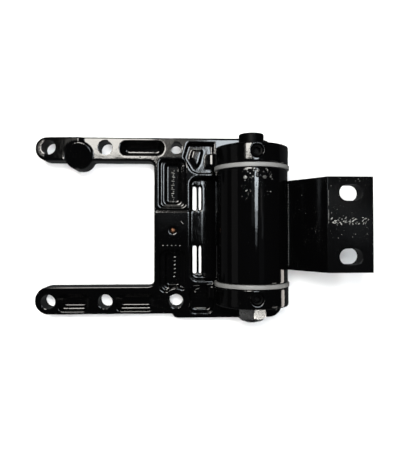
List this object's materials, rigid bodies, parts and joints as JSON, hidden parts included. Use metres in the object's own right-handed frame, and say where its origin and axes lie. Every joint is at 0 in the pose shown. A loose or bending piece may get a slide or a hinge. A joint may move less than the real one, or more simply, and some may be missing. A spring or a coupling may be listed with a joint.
{
  "type": "pivot hinge bracket",
  "caption": "Cast fork bracket with two ears that hold a through-bolted swinging barrel, to which a bent, slotted lever plate is welded.",
  "frame": {"origin": "centre of the four front bolt holes, on the bracket's flat back face", "axes": "+X along the fork's arms towards the lever plate, +Y along the swing axis towards the bolt head, +Z out of the back face"},
  "size_m": [0.2783, 0.1577, 0.0672],
  "materials": {
    "cast_paint": "gloss",
    "barrel_paint": "gloss",
    "plate_paint": "gloss",
    "weld_paint": "gloss",
    "bolt_black": "satin",
    "bush_polymer": "satin",
    "seal_rubber": "matte",
    "ground_steel": "satin",
    "zinc": "satin",
    "nylon": "satin",
    "copper": "satin"
  },
  "bodies": {
    "bracket": {"bracket_casting": "cast_paint", "inner_sleeve": "ground_steel", "upper_liner": "ground_steel", "lower_liner": "ground_steel", "pivot_bolt": "bolt_black", "head_washer": "bolt_black", "nut_washer": "zinc", "lock_nut": "zinc", "nut_insert": "nylon", "upper_set_screw": "bolt_black", "lower_set_screw": "bolt_black", "pad_plug": "copper"},
    "swing_arm": {"barrel_tube": "barrel_paint", "lever_plate": "plate_paint", "upper_weld": "weld_paint", "lower_weld": "weld_paint", "upper_bush": "bush_polymer", "lower_bush": "bush_polymer", "upper_seal": "seal_rubber", "lower_seal": "seal_rubber"}
  },
  "joints": [
    {"name": "barrel_swing", "type": "hinge", "parent": "bracket", "child": "swing_arm", "pos_m": [0.1495, -0.00185, 0.036], "axis": [0, -1, 0], "range_deg": [-12, 150]}
  ]
}
